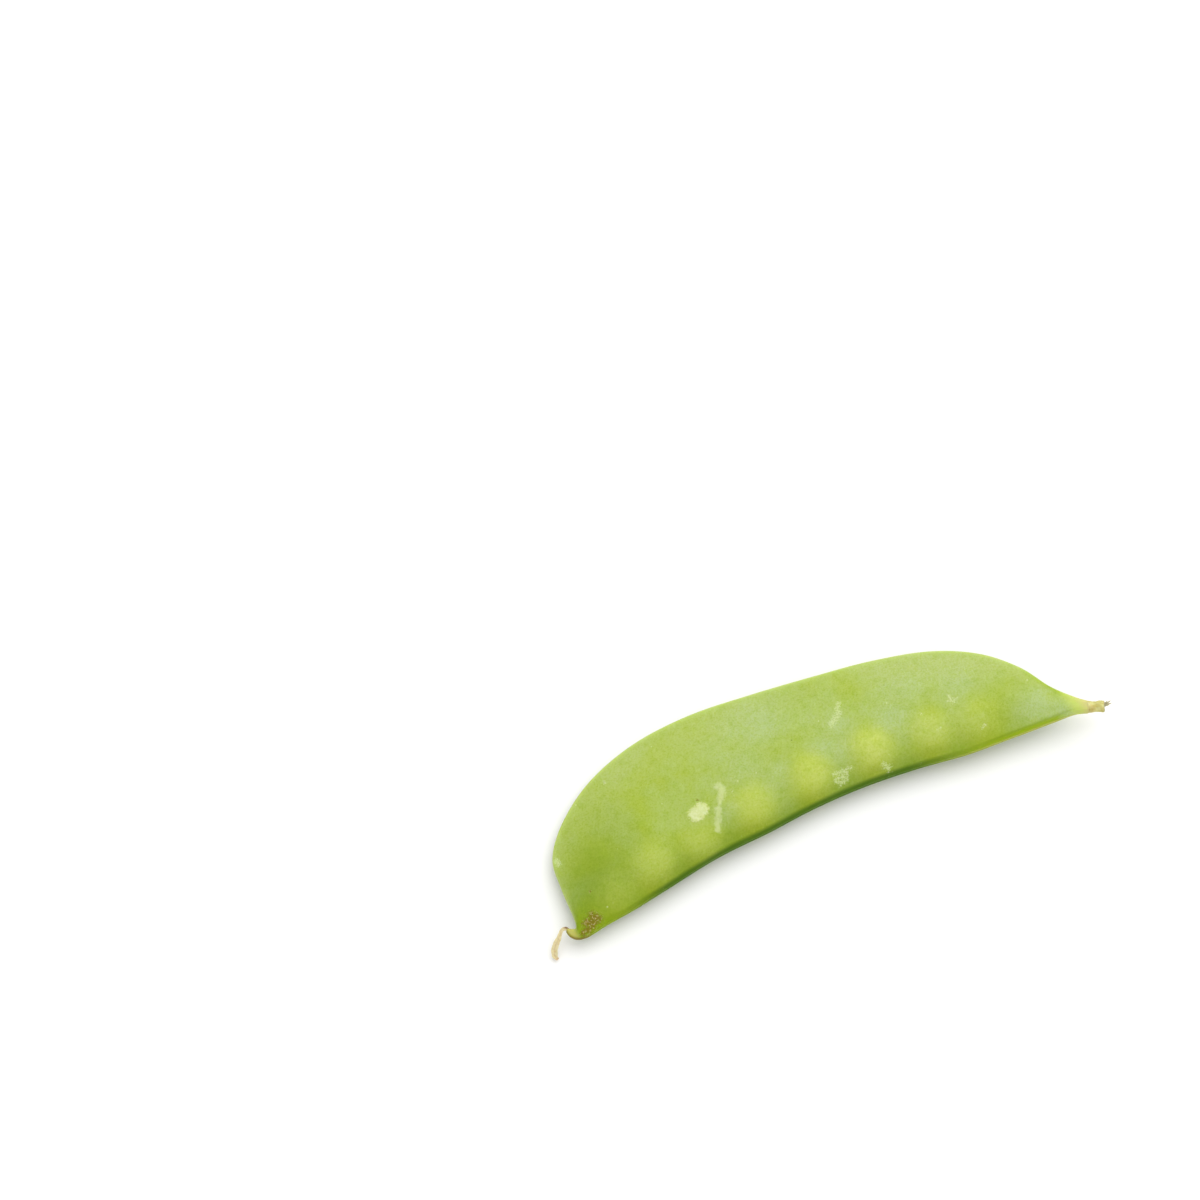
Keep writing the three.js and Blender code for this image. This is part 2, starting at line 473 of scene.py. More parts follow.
    def finish(
        self, colour: Socket, roughness: Socket, height: Socket, depth_mm: float
    ) -> bpy.types.Material:
        """Joins the patterns to the shader.

        Args:
            colour: Base colour.
            roughness: Roughness.
            height: Relief between 0 and 1.
            depth_mm: How deep a relief of 1 is.

        Returns:
            The finished material.
        """
        bump = self.node("Bump", Strength=1.0, Distance=depth_mm * MM, Height=height)
        self.feed(self.shader.inputs["Base Color"], colour)
        self.feed(self.shader.inputs["Roughness"], roughness)
        self.feed(self.shader.inputs["Normal"], bump.outputs["Normal"])
        return self.material

    def glow_through(self, weight: float, radius_mm: tuple[float, float, float]) -> None:
        """Lets light into the flesh and out again near by."""
        self.shader.inputs["Subsurface Weight"].default_value = weight
        self.shader.inputs["Subsurface Radius"].default_value = radius_mm
        self.shader.inputs["Subsurface Scale"].default_value = MM


@dataclass(frozen=True)
class PodSkin:
    """Waxy green skin: mottled, bloomed, yellow over the seeds, scarred, and painted with light and
    shade: painted sheen on the back-edge rim, painted light on the back-edge half, painted shade along
    the seed edge, in the groove beside it, at the beak end and under the seeds.
    """

    leaf: Colour = (0.325, 0.412, 0.044)
    bloom: Colour = (0.365, 0.454, 0.178)
    patches: Mottle = Mottle(0.13, 3.0, 0.5, 0.40, 0.62)
    patch_strength: float = 0.40
    valves: tuple[Wash, ...] = (
        # painted light: lighter, bluer green on the back-edge half, where the light falls
        Wash("painted_light", (0.392, 0.464, 0.150), 0.80),
        # painted shade: darker, more saturated green at the beak end
        Wash("beak_shade", (0.175, 0.262, 0.006), 0.90),
        # deeper green towards the seed edge: partly the skin's own green, partly painted shade
        Wash("belly_green_and_shade", (0.205, 0.292, 0.002), 0.82),
        # painted shade on the seed-edge side of each seed's swelling
        Wash("seed_foot_shade", (0.315, 0.362, 0.008), 0.60),
        Wash("seed", (0.520, 0.570, 0.150), 0.65),
    )
    seams: tuple[Wash, ...] = (
        # painted shade: dark saturated green on the seed-edge flank, where the pod turns away from the
        # light
        Wash("flank_shade", (0.052, 0.120, 0.001), 0.95),
        # painted shade on that flank near the ends, in yellower green, and along the neck's back edge
        Wash("seam_end_shade", (0.250, 0.345, 0.003), 0.90),
        # painted shade in the groove beside the seed-edge seam
        Wash("groove", (0.120, 0.190, 0.002), 0.30),
        Wash("seam_line", (0.440, 0.400, 0.100), 0.85),
        # painted sheen: a paler, bluer band along the back edge
        Wash("rim", (0.400, 0.480, 0.140), 0.60),
        Wash("neck", (0.480, 0.545, 0.130), 0.80),
        Wash("straw", STRAW, 1.00),
        Wash("hook", (0.440, 0.400, 0.110), 0.85),
        Wash("tan", (0.170, 0.120, 0.006), 0.85),
    )
    blotches: Mottle = Mottle(0.8, 3.0, 0.6, 0.45, 0.68)
    blotch_tint: Colour = (0.92, 0.95, 0.78)
    grain: Mottle = Mottle(3.4, 3.0, 0.7, 0.42, 0.66)
    grain_tint: Colour = (0.88, 0.91, 0.60)
    veins: Mottle = Mottle(3.2, 3.0, 0.6, 0.50, 0.70)
    vein_tint: Colour = (1.07, 1.06, 1.20)
    vein_length: float = 4.0
    vein_turn: float = 62.0
    # cells to the millimetre, and how far from a cell's middle its dot begins and is full
    speck_cells: float = 0.55
    speck_edge: tuple[float, float] = (0.090, 0.050)
    specks: tuple[Specks, ...] = (
        Specks((0.100, 0.150, 0.010), 0.60, Channel.RED, 0.92),
        Specks((0.560, 0.630, 0.300), 0.55, Channel.GREEN, 0.84),
    )
    speck_blur: float = 0.01
    # unevenness that tears the edges of the marks
    fray: Mottle = Mottle(1.5, 4.0, 0.7)
    crumbs: Mottle = Mottle(4.5, 3.0, 0.75)
    crumb_share: float = 0.6
    scar_rim: TornMark = TornMark("scar", (0.450, 0.515, 0.150), 0.75, 1.3, 0.30, 0.62)
    scar_core: TornMark = TornMark("scar", SCAR_TISSUE, 1.00, 1.1, 0.42, 0.78)
    streak: TornMark = TornMark("streak", SCAR_TISSUE, 0.50, 1.7, 0.20, 1.00)
    scuff: TornMark = TornMark("scuff", (0.540, 0.610, 0.300), 0.72, 3.4, 0.50, 1.15)
    rust: TornMark = TornMark("rust", (0.168, 0.120, 0.007), 0.85, 2.8, 0.35, 0.95)
    scar_wear: Mottle = Mottle(2.4, 3.0, 0.6, 0.35, 0.65, 0.55, 0.95)
    cork: Colour = (0.500, 0.440, 0.200)
    cork_strength: float = 0.75
    cork_crumbs: Mottle = Mottle(3.1, 3.0, 0.7, 0.53, 0.64)
    sheen: Mottle = Mottle(0.6, 3.0, 0.5, 0.35, 0.65, 0.42, 0.52)
    mark_roughness: float = 0.22
    # fine relief: the share of each pattern, then the depth of them all
    pores: Mottle = Mottle(5.0, 4.0, 0.65)
    pore_height: float = 0.5
    vein_height: float = 0.35
    cell_height: float = 0.25
    cells_per_mm: float = 3.2
    mark_height: float = 0.8
    relief_mm: float = 0.022
    # light inside the flesh: its share, and how far its red, green and blue travel
    glow: float = 0.45
    glow_mm: tuple[float, float, float] = (1.8, 2.6, 0.5)
    refraction: float = 1.40
    mirror: float = 0.15

    def valve_colour(self, r: Recipe) -> Socket:
        """Green of the valves, from the broad patches down to the fine grain."""
        bloom = r.sum(r.times(r.mottle(self.patches), self.patch_strength), r.mask("bloom"))
        colour = r.over(self.leaf, self.bloom, bloom)
        for wash in self.valves:
            colour = r.wash(colour, wash)
        colour = r.over(colour, self.blotch_tint, r.mottle(self.blotches), Blend.MULTIPLY)
        return r.over(colour, self.grain_tint, r.mottle(self.grain), Blend.MULTIPLY)

    def add_specks(self, r: Recipe, colour: Socket) -> Socket:
        """Lays the sparse dark dots and pale dots over the colour."""
        cells = r.cells(self.speck_cells, Cells.SHARP)
        chance = r.node("SeparateColor", Color=cells.outputs["Color"])
        spot = r.span(cells.outputs["Distance"], *self.speck_edge)
        for specks in self.specks:
            number = chance.outputs[specks.channel.value]
            chosen = r.span(number, specks.rarity, specks.rarity + self.speck_blur)
            share = r.times(r.times(spot, chosen), specks.strength)
            colour = r.over(colour, specks.colour, share)
        return colour

    def build(self) -> bpy.types.Material:
        """Builds the skin's node tree."""
        r = Recipe("pod_skin")
        colour = self.valve_colour(r)
        veins = r.noise(self.veins, r.drawn_out(self.vein_length, self.vein_turn))
        colour = r.over(colour, self.vein_tint, r.levels(veins, self.veins), Blend.MULTIPLY)
        for wash in self.seams:
            colour = r.wash(colour, wash)
        colour = self.add_specks(r, colour)

        crumbs = r.uneven(self.crumbs)
        ragged = r.sum(r.uneven(self.fray), r.times(crumbs, self.crumb_share))
        scar, rust = r.torn(self.scar_rim, ragged), r.torn(self.rust, crumbs)
        core = r.times(r.torn(self.scar_core, ragged), r.mottle(self.scar_wear))
        shares = (
            (self.scar_rim, scar),
            (self.scar_core, core),
            (self.streak, r.torn(self.streak, ragged)),
            (self.scuff, r.torn(self.scuff, crumbs)),
            (self.rust, rust),
        )
        for mark, share in shares:
            colour = r.over(colour, mark.colour, r.times(share, mark.strength))
        cork = r.times(r.mask("rust"), r.mottle(self.cork_crumbs))
        colour = r.over(colour, self.cork, r.times(cork, self.cork_strength))

        marks = r.sum(scar, rust)
        rough = r.sum(r.mottle(self.sheen), r.times(marks, self.mark_roughness))
        cells = r.cells(self.cells_per_mm, Cells.SMOOTH).outputs["Distance"]
        height = r.sum(r.times(r.noise(self.pores), self.pore_height), r.times(veins, self.vein_height))
        height = r.sum(height, r.times(cells, self.cell_height))
        height = r.sum(height, r.times(marks, r.sum(crumbs, self.mark_height)))
        r.glow_through(self.glow, self.glow_mm)
        r.shader.inputs["IOR"].default_value = self.refraction
        r.shader.inputs["Specular IOR Level"].default_value = self.mirror
        return r.finish(colour, rough, height, self.relief_mm)


@dataclass(frozen=True)
class StalkTissue:
    """Straw-coloured stalk end, paler in patches, bruised at its waist and grey-brown where it tore."""

    straw: Colour = STRAW
    pale: Colour = (0.600, 0.585, 0.230)
    pale_patches: Mottle = Mottle(0.9, 2.0, 0.5, 0.42, 0.62)
    shade: Colour = (0.84, 0.78, 0.62)
    streaks: Mottle = Mottle(2.0, 4.0, 0.6, 0.42, 0.66)
    streak_length: float = 2.5
    streak_turn: float = -26.0
    bruise: Colour = BRUISE
    bruises: Mottle = Mottle(1.1, 3.0, 0.6, 0.56, 0.72)
    bruise_strength: float = 0.35
    washes: tuple[Wash, ...] = (
        Wash("waist", BRUISE, 0.38),
        Wash("torn", (0.340, 0.310, 0.190), 1.00),
    )
    # two levels of the streaks, and the roughness there
    roughness: tuple[float, float, float, float] = (0.3, 0.7, 0.60, 0.80)
    fibres: Mottle = Mottle(4.0, 4.0, 0.7)
    relief_mm: float = 0.05
    glow: float = 0.25
    glow_mm: tuple[float, float, float] = (0.8, 0.6, 0.2)

    def build(self) -> bpy.types.Material:
        """Builds the stalk's node tree."""
        r = Recipe("stem_tissue")
        streaks = r.noise(self.streaks, r.drawn_out(self.streak_length, self.streak_turn))
        colour = r.over(self.straw, self.pale, r.mottle(self.pale_patches))
        colour = r.over(colour, self.shade, r.levels(streaks, self.streaks), Blend.MULTIPLY)
        bruises = r.times(r.mottle(self.bruises), self.bruise_strength)
        colour = r.over(colour, self.bruise, bruises)
        for wash in self.washes:
            colour = r.wash(colour, wash)
        r.glow_through(self.glow, self.glow_mm)
        rough = r.span(streaks, *self.roughness)
        return r.finish(colour, rough, r.noise(self.fibres), self.relief_mm)


@dataclass(frozen=True)
class DryRibbon:
    """Dry cream style, brown at its root and its tip, with fine veins along it."""

    cream: Colour = (0.640, 0.570, 0.320)
    vein: Colour = RIBBON_VEIN
    streaks: Mottle = Mottle(3.0, 4.0, 0.6, 0.45, 0.70)
    streak_strength: float = 0.5
    washes: tuple[Wash, ...] = (
        Wash("crease", RIBBON_VEIN, 0.45),
        Wash("tip", (0.560, 0.340, 0.200), 0.70),
        Wash("brown", (0.170, 0.080, 0.030), 1.00),
    )
    # two levels of the streaks, and the roughness there
    roughness: tuple[float, float, float, float] = (0.3, 0.7, 0.60, 0.75)
    crinkle: Mottle = Mottle(6.0, 4.0, 0.7)
    relief_mm: float = 0.03
    glow: float = 0.2
    glow_mm: tuple[float, float, float] = (0.5, 0.35, 0.2)

    def build(self) -> bpy.types.Material:
        """Builds the style's node tree."""
        r = Recipe("dry_style")
        streaks = r.noise(self.streaks)
        share = r.times(r.levels(streaks, self.streaks), self.streak_strength)
        colour = r.over(self.cream, self.vein, share)
        for wash in self.washes:
            colour = r.wash(colour, wash)
        r.glow_through(self.glow, self.glow_mm)
        rough = r.span(streaks, *self.roughness)
        return r.finish(colour, rough, r.noise(self.crinkle), self.relief_mm)


# ---- Placing the plant in the CAD frame ----


@dataclass
class Rest:
    """How the pod's own plane lies in the CAD frame: rolled about +X, then moved."""

    roll_deg: float = -2.3
    shift: np.ndarray = field(default_factory=lambda: np.zeros(3))

    def lay(self, points: np.ndarray) -> np.ndarray:
        """Points of the pod's own plane, rolled and moved into the CAD frame."""
        c, s = math.cos(math.radians(self.roll_deg)), math.sin(math.radians(self.roll_deg))
        turn = np.array([[1.0, 0.0, 0.0], [0.0, c, -s], [0.0, s, c]])
        return points @ turn.T + self.shift

    def fit(self, points: np.ndarray, node: str) -> None:
        """Finds the shift that puts the points' middle and lowest point where the CAD node has them."""
        self.shift = np.zeros(3)
        laid = self.lay(points).reshape(-1, 3)
        low, high = (np.array(corner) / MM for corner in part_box(node))
        middle = (low + high) / 2 - (laid.min(axis=0) + laid.max(axis=0)) / 2
        self.shift = np.array([middle[0], middle[1], low[2] - laid[:, 2].min()])


# ---- The pod ----


@dataclass(frozen=True)
class Mark:
    """A scar, scratch or blemish: a line on the upper valve, and how far its edge is from the line."""

    path: tuple[tuple[float, float], ...]
    reach: float

    def share(self, x: np.ndarray, y: np.ndarray) -> np.ndarray:
        """1 along the line, a half at the mark's edge, falling to 0 as far again outside it."""
        return ease(distance_to_path(x, y, self.path), 2 * self.reach, 0.0)


@dataclass(frozen=True)
class Patch:
    """A round, soft-edged patch of colour: its middle and its spread."""

    x: float
    y: float
    spread: float

    def share(self, x: np.ndarray, y: np.ndarray) -> np.ndarray:
        """Bell curve of the distance from the middle."""
        return bump_at(np.hypot(x - self.x, y - self.y), 0.0, self.spread)


def strongest(shapes: tuple[Mark, ...] | tuple[Patch, ...], x: np.ndarray, y: np.ndarray) -> np.ndarray:
    """The largest share that any of the marks or patches has at each point."""
    return np.max([shape.share(x, y) for shape in shapes], axis=0)


@dataclass(frozen=True)
class SkinMarks:
    """Where the upper valve is scarred, scuffed, blemished and bloomed."""

    scars: tuple[Mark, ...] = (Mark(((-17.8, 8.1), (-16.7, 8.5)), 1.10),)
    streaks: tuple[Mark, ...] = (
        Mark(((-12.9, 10.8), (-12.5, 10.1), (-13.3, 9.0)), 0.58),
        Mark(((-13.3, 9.0), (-14.3, 7.6)), 0.28),
        Mark(((-14.4, 7.6), (-15.1, 6.2), (-15.9, 4.8)), 0.50),
    )
    scuffs: tuple[Mark, ...] = (
        Mark(((8.9, 15.0), (8.1, 14.2), (8.4, 13.6)), 0.40),
        Mark(((8.0, 13.5), (7.0, 12.9), (6.3, 12.3)), 0.60),
        Mark(((3.0, 5.3), (4.4, 5.3), (5.9, 5.2)), 0.34),
        Mark(((3.0, 4.3), (4.9, 4.8)), 0.42),
        Mark(((3.3, 3.7), (4.7, 4.0)), 0.40),
        Mark(((10.6, 3.4), (10.9, 2.9)), 0.60),
        Mark(((23.4, 8.3), (24.8, 8.1)), 0.27),
        Mark(((24.0, 7.7), (23.9, 9.0)), 0.27),
        Mark(((18.8, 8.1),), 0.30),
        Mark(((19.8, 4.8), (20.4, 4.9)), 0.22),
        Mark(((26.5, 2.6), (25.9, 2.4)), 0.26),
        Mark(((-27.3, 18.9),), 0.35),
        Mark(((-11.4, 9.3),), 0.30),
        Mark(((-38.7, 11.0), (-38.6, 10.3)), 0.55),
    )
    blemishes: tuple[Mark, ...] = (
        Mark(((-37.6, 0.9), (-37.1, 0.3)), 0.70),
        Mark(((-38.8, 0.40), (-37.7, 0.0)), 0.65),
        Mark(((-39.9, -0.70), (-38.1, -0.35)), 0.45),
        Mark(((-16.6, 10.0),), 0.22),
        Mark(((-36.4, 4.3),), 0.20),
    )
    bloomed: tuple[Patch, ...] = (
        Patch(-5.0, 7.5, 4.2),
        Patch(4.6, 8.5, 3.6),
        Patch(-13.3, 5.8, 2.6),
        Patch(14.8, 8.8, 3.2),
        Patch(-5.0, 17.5, 6.0),
        Patch(-8.0, 12.0, 5.0),
        Patch(7.0, 12.0, 4.5),
        Patch(20.0, 16.0, 5.5),
        Patch(28.0, 12.5, 5.5),
        Patch(34.5, 2.6, 4.0),
        Patch(37.4, 0.3, 3.0),
        Patch(-37.4, 3.4, 2.4),
        Patch(-22.5, 1.5, 2.2),
    )


@dataclass(frozen=True)
class SkinRelief:
    """Cords and grooves by their distance from a seam, and the unevenness of the valves between."""

    seed_cords: Bell = Bell(0.06, 0.38, 0.20)
    seed_parting: Bell = Bell(-0.05, 0.0, 0.15)
    # the side groove's bell is scaled by its depth, which grows towards the stem
    side_groove: Bell = Bell(1.0, 1.0, 0.26)
    groove_depth: float = 0.015
    groove_deepening: float = 0.045
    groove_deepens: Fade = Fade(16.0, 28.0)
    back_cord: Bell = Bell(0.05, 0.0, 0.35)
    back_groove: Bell = Bell(-0.04, 0.9, 0.35)
    # how the valves' unevenness sets in with the distance from a seam
    valves: Fade = Fade(0.8, 4.0)
    roll: Ripples = Ripples(7.0, 16.0, seed=11, height=0.060)
    roll_stretch: float = 3.0
    pucker: Ripples = Ripples(1.6, 3.2, seed=5, height=0.010)
    # how all but the scars sets in with the width of a section
    wide_part: Fade = Fade(1.5, 6.0)
    scar_height: float = 0.06
    scar_rises: Fade = Fade(0.3, 0.8)

    def height(
        self,
        points: np.ndarray,
        width: np.ndarray,
        seed_edge: np.ndarray,
        back_edge: np.ndarray,
        scars: np.ndarray,
    ) -> np.ndarray:
        """Fine relief along the normal.

        The seed-edge seam is a pair of cords with a groove between them and a groove on either side,
        the back edge carries one thin cord, the valves roll a little, and scars stand proud.

        Args:
            points: The smooth surface.
            width: Width of each ring.
            seed_edge: Distance of each point from the seed-edge seam.
            back_edge: Distance of each point from the back-edge seam.
            scars: Share of scar tissue at each point.

        Returns:
            Height of the relief at each point.
        """
        x, y, z = points[..., 0], points[..., 1], points[..., 2]
        depth = self.groove_depth + self.groove_deepening * self.groove_deepens.of(x)
        cords = self.seed_cords.of(seed_edge) + self.seed_parting.of(seed_edge)
        cords -= depth * self.side_groove.of(seed_edge)
        cord = self.back_cord.of(back_edge) + self.back_groove.of(back_edge)
        roll = self.roll.at(x, y, self.roll_stretch * z) + self.pucker.at(x, y, z)
        roll *= self.valves.of(np.minimum(seed_edge, back_edge))
        proud = self.scar_height * self.scar_rises.of(scars)
        return self.wide_part.of(width) * (cords + cord + roll) + proud


@dataclass(frozen=True)
class SkinZones:
    """Where the skin changes colour.

    A zone's own fade or bell is over the distance from a seam, or over the share q of the way across
    for the painted light and the painted beak-end shade. Where a zone starts, stops, grows or softens,
    the two halves and the painted light's recess are over x, which runs from the beak to the stem.
    Several zones are painted light and shade: painted light on the back-edge half and painted sheen
    on the rim, painted shade along the seed edge, in the groove beside it, at the beak end and under
    the seeds.
    recess are over x, which runs from the beak to the stem.
    """

    seed_tint_power: float = 0.8
    # the flank's painted shade: a soft and a sharp fade, the soft share growing towards the beak
    flank_soft: Fade = Fade(3.6, 1.4)
    flank_sharp: Fade = Fade(1.55, 0.70)
    flank_softness: float = 0.26
    flank_softens: Fade = Fade(30.0, 22.0)
    stem_half: Fade = Fade(12.0, 32.0)
    beak_half: Fade = Fade(-25.0, -36.0)
    beak_strength: float = 0.6
    # where the painted shade at the seam's ends stops, and its line on the neck's back edge
    seam_stops: Fade = Fade(38.9, 36.3)
    neck_line: Fade = Fade(1.9, 0.5)
    neck_line_starts: Fade = Fade(35.0, 37.5)
    neck_line_stops: Fade = Fade(41.0, 39.0)
    neck_line_strength: float = 0.9
    # painted shade in the groove beside the seam, from x = 22 towards the stem
    groove: Bell = Bell(1.0, 1.05, 0.20)
    groove_starts: Fade = Fade(22.0, 30.0)
    seam_line: Bell = Bell(1.0, 0.0, 0.26)
    seam_line_starts: Fade = Fade(14.0, 32.0)
    # the deeper green near the seed edge, partly painted shade, growing towards the beak
    belly_green_and_shade: Fade = Fade(8.0, 1.8)
    belly_least: float = 0.65
    belly_growth: float = 0.45
    belly_grows: Fade = Fade(0.0, -24.0)
    belly_stops: Fade = Fade(36.0, 28.0)
    # painted sheen along the back edge, stopping at the neck
    rim: Fade = Fade(1.4, 0.3)
    rim_stops: Fade = Fade(39.0, 35.0)
    # painted light over the share across: lighter towards the back edge and towards the stem, less in a
    # recess near the middle
    painted_light: Fade = Fade(0.50, 0.95)
    painted_light_recess: Bell = Bell(0.25, 4.0, 10.0)
    painted_light_least: float = 0.65
    painted_light_growth: float = 0.35
    painted_light_grows: Fade = Fade(-2.0, 27.0)
    painted_light_stops: Fade = Fade(40.0, 34.0)
    # painted shade at the beak end, over the share across, strongest towards the seed edge
    beak_shade: Fade = Fade(1.15, 0.25)
    beak_shade_starts: Fade = Fade(-22.0, -37.0)
    neck_starts: Fade = Fade(38.2, 40.2)
    straw_starts: Fade = Fade(40.0, 41.4)
    straw_slant: float = 0.1
    hook_starts: Fade = Fade(-40.1, -41.1)
    tan: Fade = Fade(0.75, 0.20)
    tan_starts: Fade = Fade(-37.8, -39.8)
    bloom_strength: float = 0.75
    bloom_off_seeds: float = 0.5


@dataclass
class Pod:
    """Two flat valves seamed along the seed edge and the back edge, from the neck to the beak."""

    # seed edge x and y, back edge x and y, half thickness, from the neck to the beak's tip
    stations: tuple[tuple[float, ...], ...] = (
        (41.35, -1.85, 42.05, -0.05, 0.85),
        (39.6, -1.2, 40.55, 1.5, 0.95),
        (37.0, -0.9, 38.3, 4.4, 1.15),
        (33.2, -0.6, 35.8, 9.1, 1.45),
        (28.5, -0.2, 31.5, 13.7, 1.80),
        (22.5, 0.3, 25.1, 17.3, 2.05),
        (15.0, 1.5, 16.6, 19.7, 2.20),
        (7.0, 2.3, 7.6, 21.2, 2.25),
        (-1.0, 2.4, -1.9, 22.5, 2.25),
        (-9.0, 1.9, -11.5, 23.4, 2.25),
        (-17.1, 1.6, -20.7, 22.8, 2.20),
        (-24.6, 0.6, -28.9, 20.3, 2.10),
        (-31.1, -0.3, -35.1, 16.3, 1.90),
        (-35.6, -0.7, -38.9, 11.8, 1.60),
        (-38.2, -1.05, -39.7, 7.2, 1.35),
        (-39.7, -1.2, -39.95, 2.6, 1.05),
        (-40.9, -0.9, -40.3, 0.8, 0.75),
        (-41.65, -0.1, -40.9, 0.85, 0.50),
        (-41.85, 0.8, -41.4, 1.2, 0.30),
    )
    # x, y and swelling of the upper valve over each seed
    seeds: tuple[tuple[float, float, float], ...] = (
        (-32.9, 2.1, 0.25),
        (-26.4, 3.8, 0.50),
        (-18.7, 3.9, 0.45),
        (-9.5, 5.8, 0.60),
        (0.1, 6.5, 0.75),
        (9.9, 6.4, 0.85),
        (19.0, 5.2, 0.50),
        (26.0, 4.0, 0.35),
    )
    seed_reach: tuple[float, float] = (3.0, 2.9)
    seed_power: float = 1.4
    # where the painted shade at the foot of a seed is strongest, from the seed's middle
    foot_offset: tuple[float, float] = (-1.1, -3.0)
    foot_reach: tuple[float, float] = (2.4, 1.7)
    foot_least: float = 0.4
    lower_valve_share: float = 0.6
    nose_least: float = 0.3
    nose_growth: float = 0.02
    rim_reach: float = 0.6
    rim_half_thickness: float = 0.55
    crest: float = 0.4
    nose_share: float = 0.25
    back_power: float = 1.25
    half_length: float = 42.0
    neck_rise: float = 1.3
    neck_power: float = 2.5
    beak_droop: float = 0.5
    beak_power: float = 3.0
    rings: int = 600
    # places tried along the stations, and the share of their mean step that is added to each step
    trials: int = 4001
    end_crowding: float = 0.3
    nose_steps: int = 20
    face_steps: int = 50
    rim_steps: int = 9
    # most of a section's width that either rounded edge takes up in the cutting of the ring
    edge_share: float = 0.42
    marks: SkinMarks = SkinMarks()
    skin_relief: SkinRelief = SkinRelief()
    zones: SkinZones = SkinZones()

    def ring_places(self) -> np.ndarray:
        """Places of the rings along the stations.

        The rings are evenly spaced by a length that grows with the pod's middle line and, more
        slowly, with the station number, so that they draw closer at the neck and the beak.
        """
        rows = np.array(self.stations)
        t = np.linspace(0.0, 1.0, self.trials)
        at = curve_through(rows, t)
        middle = (at[:, 0:2] + at[:, 2:4]) / 2
        steps = np.linalg.norm(np.diff(middle, axis=0), axis=1)
        grown = np.concatenate([[0.0], np.cumsum(steps + self.end_crowding * steps.mean())])
        return np.interp(np.linspace(0.0, grown[-1], self.rings + 1), grown, t)

    def plan(self) -> tuple[np.ndarray, np.ndarray, np.ndarray]:
        """Seed edge, back edge and half thickness at each ring."""
        at_rings = curve_through(np.array(self.stations), self.ring_places())
        return at_rings[:, 0:2], at_rings[:, 2:4], at_rings[:, 4:5]

    def nose_reach(self, width: np.ndarray) -> np.ndarray:
        """Depth of the rounding at the seed edge of a section."""
        return np.minimum(self.nose_least + self.nose_growth * width, width / 2)

    def shares_across(self, width: np.ndarray) -> np.ndarray:
        """Places of one valve's points, as shares of the way from the seed edge to the back edge.

        Inside the nose's reach and the rim's reach the places follow the cosine of an even angle, so
        that the rounded edges are finely cut. Between them the places are even.
        """
        nose = np.minimum(self.nose_reach(width) / width, self.edge_share)
        rim = 1.0 - np.minimum(self.rim_reach / width, self.edge_share)
        in_nose = nose * (1.0 - np.cos(np.linspace(0.0, math.pi / 2, self.nose_steps, endpoint=False)))
        in_face = nose + (rim - nose) * np.linspace(0.0, 1.0, self.face_steps, endpoint=False)
        turn = np.linspace(0.0, math.pi / 2, self.rim_steps + 1)
        in_rim = rim + (1.0 - rim) * np.sin(turn)
        return np.concatenate([in_nose, in_face, in_rim], axis=1)

    def valve_height(self, q: np.ndarray, width: np.ndarray, fullest: np.ndarray) -> np.ndarray:
        """Half thickness a share q of the way across.

        It rises as a quarter ellipse over the nose, swells by a sine to the crest, falls by a
        powered cosine to the thin rim, and closes with a quarter ellipse.
        """
        nose = edge_rounding(q * width, self.nose_reach(width))
        rim = edge_rounding((1.0 - q) * width, np.minimum(self.rim_reach, width / 2))
        thin = np.minimum(self.rim_half_thickness, fullest)
        rise = np.sin(np.minimum(q / self.crest, 1.0) * math.pi / 2)
        beyond = np.maximum((q - self.crest) / (1.0 - self.crest), 0.0)
        fall = np.maximum(np.cos(beyond * math.pi / 2), 0.0) ** self.back_power
        swell = np.where(q < self.crest, self.nose_share + (1.0 - self.nose_share) * rise, fall)
        return nose * rim * (thin + (fullest - thin) * swell)

    def seed_field(self, x: np.ndarray, y: np.ndarray) -> np.ndarray:
        """Sum over the seeds of swelling * exp(-(squared distance in reaches) ** power)."""
        total = np.zeros(x.shape)
        for seed_x, seed_y, height in self.seeds:
            along = (x - seed_x) / self.seed_reach[0]
            across = (y - seed_y) / self.seed_reach[1]
            total += height * np.exp(-((along**2 + across**2) ** self.seed_power))
        return total

    def foot_field(self, x: np.ndarray, y: np.ndarray) -> np.ndarray:
        """Bell curves of painted shade at the feet of the seeds, on their seed-edge side, stronger under
        the fuller ones.
        """
        total = np.zeros(x.shape)
        for seed_x, seed_y, height in self.seeds:
            along = (x - seed_x - self.foot_offset[0]) / self.foot_reach[0]
            across = (y - seed_y - self.foot_offset[1]) / self.foot_reach[1]
            total += min(1.0, self.foot_least + height) * np.exp(-(along**2) - across**2)
        return total

    def spine_height(self, x: np.ndarray) -> np.ndarray:
        """Height of the surface midway between the valves: lifted at the neck, drooping at the beak."""
        neck = self.neck_rise * np.clip(x / self.half_length, 0.0, 1.0) ** self.neck_power
        beak = self.beak_droop * np.clip(-x / self.half_length, 0.0, 1.0) ** self.beak_power
        return neck - beak

